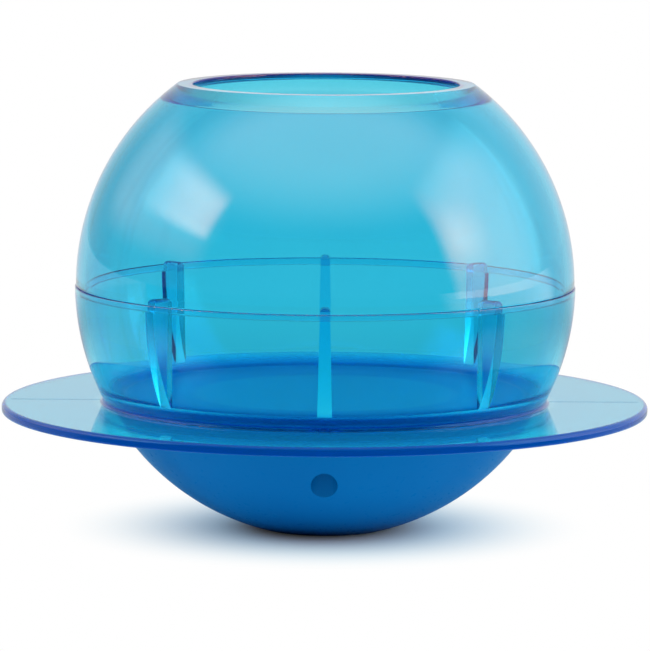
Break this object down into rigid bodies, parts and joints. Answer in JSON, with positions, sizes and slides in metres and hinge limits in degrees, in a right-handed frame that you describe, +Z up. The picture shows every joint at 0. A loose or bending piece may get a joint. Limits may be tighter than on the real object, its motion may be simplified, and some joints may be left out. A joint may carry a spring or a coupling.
{
  "type": "treat dispensing toy",
  "caption": "Wobbling treat toy: a translucent open-topped dome lifts off a ribbed, brimmed bowl over a weighted round base that rights itself.",
  "frame": {"origin": "on the floor, under the middle of the flat foot", "axes": "+Z up along the ball's axis through the mouth, -Y towards the front, where one of the base screws shows"},
  "size_m": [0.1284, 0.1284, 0.0886],
  "materials": {
    "clear_blue": "polished, see-through blue",
    "base_blue": "semi-gloss, opaque blue",
    "ballast_iron": "as cast",
    "screw_steel": "zinc plated"
  },
  "bodies": {
    "base": {"feeder_bowl": "clear_blue", "base_shell": "base_blue", "ballast_weight": "ballast_iron", "ballast_washer": "screw_steel", "ballast_screw": "screw_steel", "front_base_screw": "screw_steel", "right_base_screw": "screw_steel", "left_base_screw": "screw_steel"},
    "dome": {"upper_dome": "clear_blue"}
  },
  "joints": [
    {"name": "dome_lift", "type": "slide", "parent": "base", "child": "dome", "axis": [0, 0, 1], "range_m": [0, 0.06]}
  ]
}
